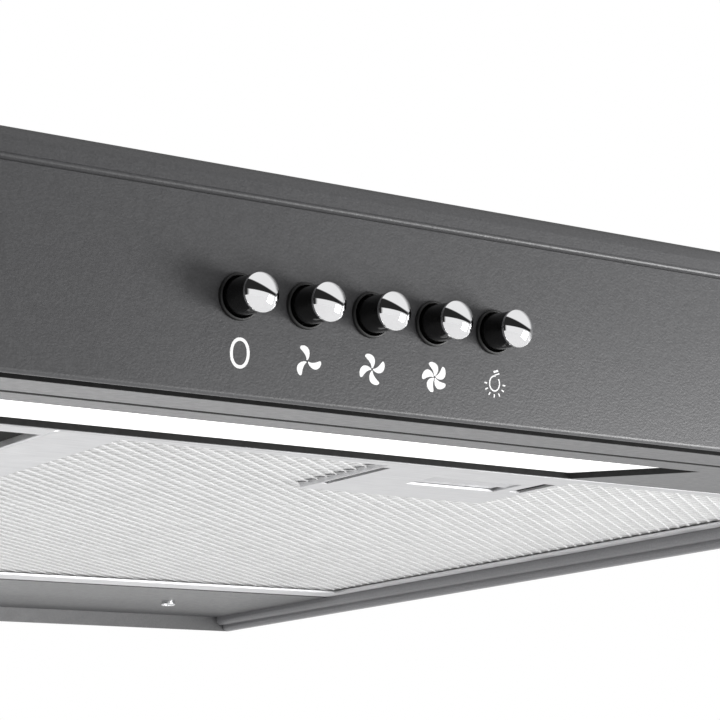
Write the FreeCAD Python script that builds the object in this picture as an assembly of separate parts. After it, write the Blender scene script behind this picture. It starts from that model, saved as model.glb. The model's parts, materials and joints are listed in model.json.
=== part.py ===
import FreeCAD, Part
import math
import os

from FreeCAD import Vector

# Under cabinet range hood, 600 mm wide. Units are millimetres.
# Origin: centre of the cabinet screw pattern on the top face. +X right, +Y to the wall, +Z up.
# "reach" is a distance behind the front face, so Y = reach - depth / 2.

# ---- casing -------------------------------------------------------------------------------
width = 600.0
depth = 480.0
half_width = width / 2
front_height = 52.5
sheet = 1.0
slope_deg = 5.27
lip_outer_width = 3.5
lip_inner_reach = 7.0
lip_step = 2.6
lip_height = 7.0
slope_start = 31.0

flange_turn = 6.0
divider_flange_half = 16.0
flange_above_filter = 0.4

# ---- front panel --------------------------------------------------------------------------
groove_height = 7.1
groove_half = 0.9
groove_depth = 0.8
groove_back_depth = 1.7
groove_back_half = 1.2
band_radius = 3.5
hem_height = 9.0
front_flange = 12.0

# ---- push buttons -------------------------------------------------------------------------
button_names = ["off", "speed_1", "speed_2", "speed_3", "light"]
button_pitch = 18.0
button_drop = 30.0
button_radius = 4.5
stem_radius = 4.35
button_out = 8.7
dome_height = 1.9
skirt_length = 0.9
bezel_radius = 5.37
bezel_bore = 4.8
bezel_proud = 1.0
panel_hole_radius = 5.0
stem_inside = 14.0
switch_depth = 32.0
switch_half_height = 11.0
switch_bore_depth = 24.0

# ---- underside, front to back -------------------------------------------------------------
seam_gap = 7.0
lip_end = 30.3
plate_start = 31.9
window_start = 47.0
window_end = 96.3
window_half_front = 184.0
window_half_rear = 177.5
collar = 0.8
lens_recess = 1.8
lens_thickness = 2.0
tray_height = 13.0
lamp_count = 18
lamp_pitch = 18.0
lamp_half = 2.5
lamp_thickness = 0.9
board_thickness = 1.6
board_half_length = 165.0
board_half_width = 6.0
board_reach = 71.0
filter_line = 96.0

# ---- grease filters, measured along the sloping underside ---------------------------------
filter_inner = 8.1
filter_outer = 292.5
filter_front = 98.2
filter_rear = 390.0
filter_thickness = 8.5
filter_sheet = 0.8
inner_band = 20.5
outer_band = 6.0
front_band = 4.0
rear_band = 13.0
filter_pivot_reach = 386.0
hinge_pin_radius = 1.0
hinge_hole_radius = 1.2
rail_setback = 3.4
rail_overrun = 6.4
divider_setback = 2.0
latch_centre = 150.0
latch_half = 34.0
latch_rear = 148.0
latch_window_centre = 156.5
latch_window_half = 16.5
latch_window_front = 113.0
latch_window_rear = 127.0
latch_travel = 6.0
latch_bar_half = 22.0
latch_nose_half = 7.0

# ---- blower -------------------------------------------------------------------------------
blower_x = -140.0
blower_y = 95.0
impeller_radius = 72.0
impeller_top = -8.0
impeller_bottom = -48.0
blade_inner = 58.0
blade_count = 32
impeller_sheet = 1.5
hub_radius = 9.0
hub_bottom = -46.0
cup_bottom = -38.0
cup_radius = 43.0
motor_radius = 38.0
motor_bottom = -34.0
shaft_radius = 3.0
volute_bottom = -50.0
volute_wall_thickness = 1.6
volute_start_radius = 78.0
volute_end_radius = 101.0
inlet_radius = 54.0
plenum_left = -57.0
plenum_right = 66.0
plenum_front = 66.0

# ---- duct spigot and its two flaps --------------------------------------------------------
spigot_x = 0.0
spigot_y = 132.0
spigot_radius = 60.0
spigot_wall = 1.5
spigot_height = 35.0
spigot_flange_radius = 72.0
spigot_flange = 1.5
spigot_stop_radius = 54.0
spigot_stop_height = 3.6
spigot_screw_circle = 66.0
flap_radius = 57.6
flap_thickness = 1.2
flap_axis_z = 4.6
flap_pin_radius = 1.5
flap_barrel_radius = 2.6
flap_gap = 3.2
running_clearance = 0.06

# ---- fixings and electrics ----------------------------------------------------------------
cabinet_spacing_x = 520.0
cabinet_spacing_y = 300.0
cabinet_hole_radius = 3.0
screw_head_radius = 3.0
screw_radius = 1.5
screw_head_height = 1.6
screw_length = 5.0
gland_x = 185.0
gland_y = 205.0
gland_bore = 3.8
gland_thread = 6.0
box_left = 150.0
box_right = 222.0
box_front = 60.0
box_rear = 118.0
box_bottom = -30.0
box_wall = 1.6
capacitor_x = 100.0
capacitor_y = 30.0
capacitor_z = -15.2
capacitor_radius = 14.0
capacitor_length = 46.0
strap_front = 46.0
strap_rear = 58.0
lead_height = -12.0

parts = {}


# ---- small helpers ------------------------------------------------------------------------

def at(reach):
    """Y of a point that lies this far behind the front face."""
    return reach - depth / 2


def box(x0, x1, y0, y1, z0, z1):
    return Part.makeBox(x1 - x0, y1 - y0, z1 - z0, Vector(x0, y0, z0))


def rod(radius, length, x, y, z, direction=Vector(0, 0, 1)):
    return Part.makeCylinder(radius, length, Vector(x, y, z), direction)


def tube(outer, inner, length, x, y, z, direction=Vector(0, 0, 1)):
    return rod(outer, length, x, y, z, direction).cut(rod(inner, length, x, y, z, direction))


def prism(points, vector):
    """Solid from a closed outline of straight lines."""
    return Part.Face(Part.makePolygon(points + [points[0]])).extrude(vector)


def lathe(profile, x, y):
    """Solid turned about the vertical through x, y from (radius, z) points."""
    outline = [Vector(x + radius, y, z) for radius, z in profile]
    face = Part.Face(Part.makePolygon(outline + [outline[0]]))
    return face.revolve(Vector(x, y, 0), Vector(0, 0, 1), 360)


def mirrored(shape):
    return shape.mirror(Vector(0, 0, 0), Vector(1, 0, 0))


def sloped(shape):
    """Turn a shape drawn with a level underside onto the sloping plane of the filters."""
    copy = shape.copy()
    copy.rotate(Vector(0, at(filter_line), -front_height), Vector(1, 0, 0), -slope_deg)
    return copy


def joined(shapes):
    return shapes[0].fuse(shapes[1:]).removeSplitter()


def add(name, shape):
    parts[name] = shape


def underside_z(reach):
    """Height of the side panels' lower edge."""
    fall = max(0.0, reach - slope_start) * math.tan(math.radians(slope_deg))
    return -front_height - fall


def screw(x, y, z, up=1):
    """Pan-head screw whose head stands on z; up is +1 or -1, the side the head is on."""
    head = rod(screw_head_radius, screw_head_height, x, y, z, Vector(0, 0, up))
    crown = [e for e in head.Edges
             if abs(e.CenterOfMass.z - (z + screw_head_height * up)) < 0.01]
    head = head.makeFillet(0.6, crown)
    return joined([head, rod(screw_radius, screw_length, x, y, z, Vector(0, 0, -up))])


# ---- casing panels ------------------------------------------------------------------------

def front_panel():
    """Bent sheet: hemmed lower edge, flat face, groove, rolled band and top flange."""
    face_y = at(0)
    back_y = at(sheet)
    hem_y = at(2 * sheet)
    groove_z = -groove_height
    inner_radius = band_radius - sheet
    middle = math.sqrt(0.5)

    def point(y, z):
        return Vector(-half_width, y, z)

    hem_mid = point(at(sheet), -front_height)
    band_mid = point(at(band_radius * (1 - middle)), -band_radius * (1 - middle))
    inner_mid = point(
        at(sheet + inner_radius * (1 - middle)), -sheet - inner_radius * (1 - middle)
    )
    corners = [
        point(hem_y, -front_height + sheet),
        point(hem_y, -front_height + hem_height),
        point(back_y, -front_height + hem_height),
        point(back_y, groove_z - groove_back_half),
        point(at(groove_back_depth), groove_z - groove_back_half / 2),
        point(at(groove_back_depth), groove_z + groove_back_half / 2),
        point(back_y, groove_z + groove_back_half),
        point(back_y, -band_radius),
    ]
    edges = [Part.LineSegment(a, b).toShape() for a, b in zip(corners, corners[1:])]
    flange_y = at(front_flange)
    edges.append(Part.Arc(corners[-1], inner_mid, point(at(band_radius), -sheet)).toShape())
    edges.append(
        Part.LineSegment(point(at(band_radius), -sheet), point(flange_y, -sheet)).toShape()
    )
    edges.append(Part.LineSegment(point(flange_y, -sheet), point(flange_y, 0)).toShape())
    edges.append(Part.LineSegment(point(flange_y, 0), point(at(band_radius), 0)).toShape())
    edges.append(
        Part.Arc(point(at(band_radius), 0), band_mid, point(face_y, -band_radius)).toShape()
    )
    groove_top = point(face_y, groove_z + groove_half)
    groove_low = point(face_y, groove_z - groove_half)
    edges.append(Part.LineSegment(point(face_y, -band_radius), groove_top).toShape())
    edges.append(Part.Arc(groove_top, point(at(groove_depth), groove_z), groove_low).toShape())
    hem_front = point(face_y, -front_height + sheet)
    edges.append(Part.LineSegment(groove_low, hem_front).toShape())
    edges.append(Part.Arc(hem_front, hem_mid, corners[0]).toShape())
    panel = Part.Face(Part.Wire(edges)).extrude(Vector(width, 0, 0))
    for index in range(len(button_names)):
        hole = rod(panel_hole_radius, 4 * sheet, index * button_pitch, at(-sheet), -button_drop,
                   Vector(0, 1, 0))
        panel = panel.cut(hole)
    return panel


def top_panel():
    panel = box(-half_width, half_width, at(front_flange), depth / 2, -sheet, 0)
    panel = panel.cut(rod(spigot_radius - spigot_wall, 3 * sheet, spigot_x, spigot_y, -2 * sheet))
    for x in (-cabinet_spacing_x / 2, cabinet_spacing_x / 2):
        for y in (-cabinet_spacing_y / 2, cabinet_spacing_y / 2):
            panel = panel.cut(rod(cabinet_hole_radius, 3 * sheet, x, y, -2 * sheet))
    return panel.cut(rod(gland_thread + 0.1, 3 * sheet, gland_x, gland_y, -2 * sheet))


def lip_rail(x0, x1, low, run, nose):
    """Channel of thin sheet along the lower edge, with a rounded inner nose."""
    z0 = -front_height + low
    top = -front_height + lip_height
    rail = box(x0, x1, at(slope_start), at(slope_start) + run, z0, top)
    rail = rail.cut(box(x0 + sheet, x1 - sheet, at(slope_start), at(slope_start) + run,
                        z0 + sheet, top + 1))
    edges = [e for e in rail.Edges
             if e.BoundBox.ZMax < z0 + 0.01 and e.BoundBox.XMax < x0 + 0.01
             and e.BoundBox.YLength > run - 1]
    return rail.makeFillet(nose, edges)


def side_panel(front):
    """Right side wall, behind the front sheet, with a stepped lip along its lower edge."""
    x0 = half_width - sheet
    outline = [
        Vector(x0, at(sheet), -band_radius),
        Vector(x0, at(band_radius), -sheet),
        Vector(x0, depth / 2, -sheet),
        Vector(x0, depth / 2, underside_z(depth)),
        Vector(x0, at(slope_start), -front_height),
        Vector(x0, at(2 * sheet), -front_height + sheet),
        Vector(x0, at(2 * sheet), -front_height + hem_height),
        Vector(x0, at(sheet), -front_height + hem_height),
    ]
    wall = prism(outline, Vector(sheet, 0, 0)).cut(front)
    run = (depth - slope_start) / math.cos(math.radians(slope_deg))
    outer = lip_rail(half_width - lip_outer_width, half_width, 0, run, 1.9)
    inner = lip_rail(half_width - lip_inner_reach, half_width - lip_outer_width + sheet,
                     lip_step, run, 2.2)
    lip = joined([outer, inner])
    lip.rotate(Vector(0, at(slope_start), -front_height), Vector(1, 0, 0), -slope_deg)
    limit = box(0, half_width, at(slope_start), depth / 2 - sheet, -2 * front_height, 0)
    lip = lip.common(limit).cut(wall)
    return joined([wall, lip])


def rear_panel():
    return box(-half_width + sheet, half_width - sheet, depth / 2 - sheet, depth / 2,
               underside_z(depth), -sheet)


def rear_bottom_plate():
    """Fixed plate behind the filters, flush with them, turned up along its front edge."""
    front = filter_pivot_reach + rail_overrun
    rear = (depth - sheet - filter_line) / math.cos(math.radians(slope_deg)) + filter_line - 0.6
    half = filter_outer
    plate = box(-half, half, at(front), at(rear), -front_height, -front_height + sheet)
    flange = box(-half, half, at(front), at(front) + sheet, -front_height,
                 -front_height + flange_turn)
    return sloped(joined([plate, flange]))


def front_lip():
    """Level strip under the front panel, set back by a thin shadow gap."""
    front = 2 * sheet + seam_gap
    half = half_width - sheet
    z0 = -front_height
    strip = box(-half, half, at(front), at(lip_end), z0, z0 + sheet)
    front_turn = box(-half, half, at(front), at(front + sheet), z0, z0 + flange_turn)
    rear_turn = box(-half, half, at(lip_end - sheet), at(lip_end), z0, z0 + flange_turn)
    return joined([strip, front_turn, rear_turn])


def hinge_rod(radius, x0, x1):
    """Round bar on the line that the filters hinge about."""
    return rod(radius, x1 - x0, x0, at(filter_pivot_reach),
               -front_height + filter_thickness / 2, Vector(1, 0, 0))


def centre_divider():
    """T bar between the filters: its top flange stops them, its web stays back in shadow."""
    z0 = -front_height
    top = z0 + filter_thickness + flange_above_filter
    rear = filter_pivot_reach + rail_overrun
    half = filter_inner - 0.6
    low = z0 + divider_setback
    flange = box(-divider_flange_half, divider_flange_half, at(filter_front),
                 at(filter_pivot_reach - rail_setback), top, top + sheet)
    web = box(-half, half, at(filter_front), at(rear), low, top)
    channel = box(-half + sheet, half - sheet, at(filter_front), at(rear), low + sheet, top)
    holes = hinge_rod(hinge_hole_radius, -filter_inner, filter_inner)
    return sloped(joined([flange, web.cut(channel)]).cut(holes))


def filter_rail():
    """Ledge on the right side wall that the filter closes against, with its hinge lug."""
    top = -front_height + filter_thickness + flange_above_filter
    rear = filter_pivot_reach + rail_overrun
    lug_x = filter_outer + 0.8
    flange = box(filter_outer - 8, half_width - sheet, at(filter_front),
                 at(filter_pivot_reach - rail_setback), top, top + sheet)
    strip = box(lug_x, half_width - sheet, at(filter_front), at(rear), top, top + sheet)
    lug = box(lug_x, lug_x + sheet, at(filter_pivot_reach - 3.2), at(rear),
              -front_height + 1.2, top)
    holes = hinge_rod(hinge_hole_radius, filter_outer, half_width - sheet)
    return sloped(joined([flange, strip, lug]).cut(holes))


# ---- lamp ---------------------------------------------------------------------------------

def window_outline(grow, z):
    """The lamp window's tapered outline, grown on every side."""
    front = at(window_start - grow)
    rear = at(window_end + grow)
    return [
        Vector(-window_half_front - grow, front, z),
        Vector(window_half_front + grow, front, z),
        Vector(window_half_rear + grow, rear, z),
        Vector(-window_half_rear - grow, rear, z),
    ]


def lamp_plate():
    """Flat plate with the tapered window and a short collar standing up around it."""
    half = filter_outer
    z0 = -front_height
    rear = window_end + collar
    plate = box(-half, half, at(plate_start), at(rear), z0, z0 + collar)
    wall = prism(window_outline(collar, z0), Vector(0, 0, lens_recess + lens_thickness))
    hole = prism(window_outline(0, z0), Vector(0, 0, 20))
    return joined([plate, wall]).cut(hole)


def lamp_lens():
    z0 = -front_height + lens_recess
    return prism(window_outline(-0.1, z0), Vector(0, 0, lens_thickness))


def lamp_tray():
    z0 = -front_height + lens_recess + lens_thickness
    shell = prism(window_outline(collar, z0), Vector(0, 0, tray_height))
    inside = prism(window_outline(-collar, z0), Vector(0, 0, tray_height - sheet))
    return shell.cut(inside)


def tray_roof():
    return -front_height + lens_recess + lens_thickness + tray_height - sheet


def led_strip():
    """Board under the tray's roof with a row of lamps soldered along it."""
    top = tray_roof()
    low = top - board_thickness
    board = box(-board_half_length, board_half_length, at(board_reach - board_half_width),
                at(board_reach + board_half_width), low, top)
    first = -lamp_pitch * (lamp_count - 1) / 2
    chips = []
    for index in range(lamp_count):
        x = first + index * lamp_pitch
        chips.append(box(x - lamp_half, x + lamp_half, at(board_reach - lamp_half),
                         at(board_reach + lamp_half), low - lamp_thickness, low))
    return joined([board] + chips)


# ---- push buttons and their switch --------------------------------------------------------

def button_cap(x):
    """Chrome cap: short skirt and a shallow dome."""
    sphere_radius = (button_radius ** 2 + dome_height ** 2) / (2 * dome_height)
    rim = at(-button_out - skirt_length)
    skirt = rod(button_radius, skirt_length, x, rim, -button_drop, Vector(0, 1, 0))
    ball = Part.makeSphere(sphere_radius, Vector(x, rim - dome_height + sphere_radius,
                                                 -button_drop))
    slab = rod(button_radius, dome_height, x, rim - dome_height, -button_drop, Vector(0, 1, 0))
    return joined([skirt, ball.common(slab)])


def button_stem(x):
    return rod(stem_radius, button_out + stem_inside, x, at(-button_out), -button_drop,
               Vector(0, 1, 0))


def button_bezel(x):
    flange = tube(bezel_radius, bezel_bore, bezel_proud, x, at(-bezel_proud), -button_drop,
                  Vector(0, 1, 0))
    rim = [e for e in flange.Edges
           if e.BoundBox.YMax < at(-bezel_proud) + 0.01
           and e.BoundBox.XLength > 2 * bezel_bore + 0.2]
    flange = flange.makeFillet(0.4, rim)
    sleeve = tube(panel_hole_radius - 0.05, bezel_bore, sheet, x, at(0), -button_drop,
                  Vector(0, 1, 0))
    return joined([flange, sleeve])


def coil(radius, wire, length, turns):
    """Compression spring along +Y from the origin."""
    pitch = length / turns
    helix = Part.Wire(Part.makeHelix(pitch, length, radius))
    way = Vector(0, 2 * math.pi * radius, pitch)
    section = Part.Wire(Part.Circle(Vector(radius, 0, 0), way, wire).toShape())
    body = helix.makePipeShell([section], True, False)
    body.rotate(Vector(0, 0, 0), Vector(1, 0, 0), -90)
    return body


def button_spring(x):
    """Return spring between the stem's inner end and the bottom of its bore."""
    gap = 0.3
    spring = coil(3.2, 0.28, switch_bore_depth - stem_inside - 2 * gap, 4)
    spring.translate(Vector(x, at(stem_inside + gap), -button_drop))
    return spring


def switch_housing():
    last = (len(button_names) - 1) * button_pitch
    body = box(-button_pitch / 2, last + button_pitch / 2, at(sheet), at(switch_depth),
               -button_drop - switch_half_height, -button_drop + switch_half_height)
    for index in range(len(button_names)):
        body = body.cut(rod(bezel_bore, switch_bore_depth - sheet, index * button_pitch,
                            at(sheet), -button_drop, Vector(0, 1, 0)))
    return body


def switch_terminals():
    tabs = []
    for index in range(len(button_names)):
        for z in (-button_drop - 5, -button_drop + 5):
            x = index * button_pitch
            tabs.append(box(x - 3.15, x + 3.15, at(switch_depth), at(switch_depth + 8),
                            z - 0.4, z + 0.4))
    return Part.makeCompound(tabs)


# ---- grease filters (the right one; the left is its mirror image) -------------------------

def filter_slab(x0, x1, front, rear, low, high):
    return box(x0, x1, at(front), at(rear), -front_height + low, -front_height + high)


def filter_frame():
    """Aluminium channel frame, open below and above, notched for the latch."""
    outer = filter_slab(filter_inner, filter_outer, filter_front, filter_rear, 0,
                        filter_thickness)
    corners = [e for e in outer.Edges if e.BoundBox.ZLength > filter_thickness - 0.1]
    outer = outer.makeFillet(3.0, corners)
    lower = [e for e in outer.Edges if e.BoundBox.ZMax < -front_height + 0.01]
    outer = outer.makeFillet(0.7, lower)
    inside = filter_slab(filter_inner + filter_sheet, filter_outer - filter_sheet,
                         filter_front + filter_sheet, filter_rear - filter_sheet,
                         filter_sheet, filter_thickness - filter_sheet)
    lower_window = filter_slab(filter_inner + inner_band, filter_outer - outer_band,
                               filter_front + front_band, filter_rear - rear_band,
                               -1, filter_thickness / 2)
    upper_window = filter_slab(filter_inner + 9, filter_outer - 9, filter_front + 9,
                               filter_rear - 9, filter_thickness / 2, filter_thickness + 1)
    nose_slot = filter_slab(latch_centre - latch_nose_half - 1,
                            latch_centre + latch_nose_half + 1, filter_front - 1,
                            filter_front + front_band + 1, 0.85, 2.75)
    frame = outer.cut(inside).cut(lower_window).cut(upper_window).cut(nose_slot)
    inner_pin = hinge_rod(hinge_pin_radius, filter_inner - 2.2, filter_inner + 0.4)
    outer_pin = hinge_rod(hinge_pin_radius, filter_outer - 0.4, filter_outer + 2.0)
    return joined([frame, inner_pin, outer_pin])


def latch_gap(low, high):
    """The space in the filter's layers that the latch works in."""
    return filter_slab(latch_centre - latch_half - 1, latch_centre + latch_half + 1,
                       filter_front, latch_rear + 1, low, high)


def filter_mesh():
    """Lower expanded sheet, lying on the frame's lower flange."""
    plate = filter_slab(filter_inner + 3, filter_outer - 3, filter_front + 2, filter_rear - 3,
                        filter_sheet, filter_sheet + 0.9)
    return plate.cut(latch_gap(0, 3))


def filter_pad():
    pad = filter_slab(filter_inner + 3, filter_outer - 3, filter_front + 2, filter_rear - 3,
                      1.8, 6.6)
    return pad.cut(latch_gap(0, 8))


def latch_plate():
    """Plain cover with a slot at each end and a window for the thumb pad."""
    plate = filter_slab(latch_centre - latch_half, latch_centre + latch_half,
                        filter_front + front_band + 0.1, latch_rear, 0.1, 0.8)
    window = filter_slab(latch_window_centre - latch_window_half,
                         latch_window_centre + latch_window_half,
                         latch_window_front, latch_window_rear, -1, 2)
    left_slot = filter_slab(latch_centre - latch_half + 0.6, latch_centre - latch_half + 3.2,
                            106, 138, -1, 2)
    right_slot = filter_slab(latch_centre + latch_half - 6.5, latch_centre + latch_half - 2,
                             108, 125, -1, 2)
    cover = plate.cut(window).cut(left_slot).cut(right_slot)
    back = filter_slab(latch_centre - latch_half, latch_centre + latch_half,
                       filter_front + front_band + 0.1, latch_rear, 5.6, 6.4)
    sides = []
    for x in (latch_centre - latch_half, latch_centre + latch_half - 0.5):
        sides.append(filter_slab(x, x + 0.5, filter_front + front_band + 0.1, latch_rear,
                                 0.1, 6.4))
    return joined([cover, back] + sides)


def latch_slider():
    """Sliding catch: thumb pad in the window, bar above it and a nose at the front."""
    bar = filter_slab(latch_centre - latch_bar_half, latch_centre + latch_bar_half,
                      filter_front + 8,
                      latch_rear - 18, 1.0, 2.6)
    pad = filter_slab(latch_window_centre - latch_window_half + 0.3,
                      latch_window_centre + latch_window_half - 0.3, latch_window_front + 0.3,
                      latch_window_rear - latch_travel - 0.3, 0.15, 1.0)
    dish = rod(60, 40, latch_window_centre - 20, at(latch_window_front + 4.2),
               -front_height - 59.5, Vector(1, 0, 0))
    nose = filter_slab(latch_centre - latch_nose_half, latch_centre + latch_nose_half,
                       filter_front - 0.8, filter_front + 9, 1.0, 2.6)
    return joined([bar, pad.cut(dish), nose])


def latch_spring():
    """Spring that pushes the catch forward, lying behind its bar."""
    start = latch_rear - 17.5
    spring = coil(1.2, 0.22, latch_rear - start - 1.2, 8)
    spring.translate(Vector(latch_centre, at(start), -front_height + 3.0))
    return spring


# ---- blower -------------------------------------------------------------------------------

def impeller():
    """Forward-curved wheel: cup over the motor, top ring, blades and lower ring."""
    wheel = lathe([
        (shaft_radius, hub_bottom), (hub_radius, hub_bottom), (hub_radius, cup_bottom),
        (cup_radius, cup_bottom), (cup_radius, impeller_top - impeller_sheet),
        (impeller_radius, impeller_top - impeller_sheet), (impeller_radius, impeller_top),
        (cup_radius - impeller_sheet, impeller_top),
        (cup_radius - impeller_sheet, cup_bottom + impeller_sheet),
        (shaft_radius, cup_bottom + impeller_sheet),
    ], blower_x, blower_y)
    lower_ring = tube(impeller_radius, impeller_radius - 2, 2.5, blower_x, blower_y,
                      impeller_bottom)
    blade_height = impeller_top - 1.0 - impeller_bottom
    blades = []
    inner = Vector(blade_inner, 0, impeller_bottom + 0.2)
    outer = Vector(impeller_radius - 0.6, 8, impeller_bottom + 0.2)
    middle = Vector((blade_inner + impeller_radius) / 2 + 2.5, 2.2, impeller_bottom + 0.2)
    shift = Vector(-0.4, 0.9, 0)
    front_curve = Part.Arc(inner, middle, outer).toShape()
    back_curve = Part.Arc(inner + shift, middle + shift, outer + shift).toShape()
    ends = [Part.LineSegment(inner, inner + shift).toShape(),
            Part.LineSegment(outer, outer + shift).toShape()]
    wire = Part.Wire(Part.__sortEdges__([front_curve, back_curve] + ends))
    blade = Part.Face(wire).extrude(Vector(0, 0, blade_height - 0.2))
    blade = blade.common(rod(impeller_radius - 0.1, 60, 0, 0, -60))
    for index in range(blade_count):
        copy = blade.copy()
        copy.rotate(Vector(0, 0, 0), Vector(0, 0, 1), -360.0 * index / blade_count)
        copy.translate(Vector(blower_x, blower_y, 0))
        blades.append(copy)
    return wheel.fuse([lower_ring] + blades)


def motor_shaft():
    return rod(shaft_radius, 32, blower_x, blower_y, hub_bottom)


def motor_body():
    body = lathe([
        (0, motor_bottom), (12, motor_bottom), (14, motor_bottom + 2),
        (motor_radius - 4, motor_bottom + 2), (motor_radius, motor_bottom + 6),
        (motor_radius, -8), (motor_radius - 4, -4), (0, -4),
    ], blower_x, blower_y)
    return body.cut(rod(shaft_radius + running_clearance, 21, blower_x, blower_y,
                        motor_bottom - 0.5))


def motor_bracket():
    """Plate under the top panel that carries the motor."""
    plate = rod(motor_radius + 2, 1.5, blower_x, blower_y, -sheet - 1.5)
    boss = rod(16, 1.5, blower_x, blower_y, -4)
    return joined([plate, boss])


def volute_plan(grow):
    """Plan of the air space: the growing scroll, its outlet and the box under the spigot."""
    turns = 24
    start_angle = 30.0
    sweep = 300.0
    points = []
    for index in range(turns + 1):
        share = index / turns
        angle = math.radians(start_angle - sweep * share)
        radius = volute_start_radius + (volute_end_radius - volute_start_radius) * share + grow
        points.append(Vector(blower_x + radius * math.cos(angle),
                             blower_y + radius * math.sin(angle), 0))
    spiral = Part.BSplineCurve()
    spiral.interpolate(points)
    closing = Part.LineSegment(points[-1], points[0]).toShape()
    scroll = Part.Face(Part.Wire([spiral.toShape(), closing]))
    top_y = blower_y + volute_end_radius + grow
    tongue_y = blower_y + volute_start_radius * math.sin(math.radians(start_angle)) - grow

    def rectangle(x0, x1, y0, y1):
        return Part.makePlane(x1 - x0, y1 - y0, Vector(x0, y0, 0))

    outlet = rectangle(blower_x, plenum_right, tongue_y, top_y)
    plenum = rectangle(plenum_left - grow, plenum_right + grow, plenum_front - grow, top_y)
    return [scroll, outlet, plenum]


def volute_block(grow, low, high):
    """The plan raised between two heights as one solid."""
    blocks = []
    for face in volute_plan(grow):
        block = face.extrude(Vector(0, 0, high - low))
        block.translate(Vector(0, 0, low))
        blocks.append(block)
    return joined(blocks)


def volute_wall():
    outside = volute_block(volute_wall_thickness, volute_bottom, -sheet)
    return outside.cut(volute_block(0, volute_bottom - 1, 0))


def volute_floor():
    low = volute_bottom - volute_wall_thickness
    floor = volute_block(volute_wall_thickness, low, volute_bottom)
    return floor.cut(rod(inlet_radius + 3, 8, blower_x, blower_y, volute_bottom - 4))


def inlet_ring():
    low = volute_bottom - 1.6
    return lathe([
        (inlet_radius, volute_bottom + 1.0), (inlet_radius, low - 0.8),
        (inlet_radius + 1.4, low - 2.0), (inlet_radius + 8, low - 1.2),
        (inlet_radius + 8, low), (inlet_radius + 2.9, low),
        (inlet_radius + 2.9, volute_bottom), (inlet_radius + 1.4, volute_bottom + 1.0),
    ], blower_x, blower_y)


# ---- duct spigot and flaps ----------------------------------------------------------------

def duct_spigot():
    flange = tube(spigot_flange_radius, spigot_stop_radius, spigot_flange, spigot_x, spigot_y, 0)
    stop = tube(spigot_radius, spigot_stop_radius, spigot_stop_height, spigot_x, spigot_y, 0)
    wall = tube(spigot_radius, spigot_radius - spigot_wall, spigot_height, spigot_x, spigot_y, 0)
    body = joined([flange, stop, wall])
    body = drilled(body, spigot_screws())
    pin_bore = rod(flap_pin_radius, 140, spigot_x - 70, spigot_y, flap_axis_z, Vector(1, 0, 0))
    return body.cut(pin_bore)


def spigot_screw_places():
    places = []
    for index in range(4):
        angle = math.radians(45 + 90 * index)
        places.append((spigot_x + spigot_screw_circle * math.cos(angle),
                       spigot_y + spigot_screw_circle * math.sin(angle)))
    return places


def flap_pin():
    half = spigot_radius - 0.2
    return rod(flap_pin_radius, 2 * half, spigot_x - half, spigot_y, flap_axis_z,
               Vector(1, 0, 0))


def damper_flap(side, knuckles):
    """Half disc on its own knuckles; side is -1 for the front flap and +1 for the rear."""
    low = flap_axis_z - flap_thickness / 2
    disc = rod(flap_radius, flap_thickness, spigot_x, spigot_y, low)
    y_near = spigot_y + side * flap_gap
    y_far = spigot_y + side * 70
    half = disc.common(box(spigot_x - 70, spigot_x + 70, min(y_near, y_far),
                           max(y_near, y_far), low - 1, low + 3))
    pieces = [half]
    for x0, x1 in knuckles:
        pieces.append(rod(flap_barrel_radius, x1 - x0, spigot_x + x0, spigot_y, flap_axis_z,
                          Vector(1, 0, 0)))
        bridge_y = sorted([spigot_y, spigot_y + side * (flap_gap + 1)])
        pieces.append(box(spigot_x + x0, spigot_x + x1, bridge_y[0], bridge_y[1], low,
                          low + flap_thickness))
    body = joined(pieces)
    return body.cut(rod(flap_pin_radius + running_clearance, 140, spigot_x - 70, spigot_y,
                        flap_axis_z, Vector(1, 0, 0)))


# ---- electrics and fixings ----------------------------------------------------------------

def cable_gland():
    """Gland in the top panel: hexagon above, nut below, straight bore."""
    hexagon = [
        Vector(gland_x + 8.5 * math.cos(math.radians(60 * k)),
               gland_y + 8.5 * math.sin(math.radians(60 * k)), 0)
        for k in range(6)
    ]
    head = prism(hexagon, Vector(0, 0, 4))
    cap = Part.makeCone(7.0, 5.6, 5, Vector(gland_x, gland_y, 4))
    thread = rod(gland_thread, 8, gland_x, gland_y, -8)
    nut = prism([point + Vector(0, 0, -4.5) for point in hexagon], Vector(0, 0, 3.5))
    return joined([head, cap, thread, nut]).cut(rod(gland_bore, 30, gland_x, gland_y, -15))


def terminal_box():
    shell = box(box_left, box_right, box_front, box_rear, box_bottom, -sheet)
    return shell.cut(box(box_left + box_wall, box_right - box_wall, box_front + box_wall,
                         box_rear - box_wall, box_bottom - 1, -sheet - box_wall))


def terminal_lid():
    return box(box_left, box_right, box_front, box_rear, box_bottom - 1.8, box_bottom)


def terminal_block():
    block = box(164, 208, 82, 98, -16, -sheet - box_wall)
    for index in range(3):
        x = 172 + 14 * index
        block = block.cut(rod(2.6, 20, x, 80, -10, Vector(0, 1, 0)))
        block = block.cut(rod(2.0, 6, x, 86, -17))
    return block


def run_capacitor():
    can = rod(capacitor_radius, capacitor_length, capacitor_x, capacitor_y, capacitor_z,
              Vector(0, 1, 0))
    return can.makeFillet(1.5, can.Edges)


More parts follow.
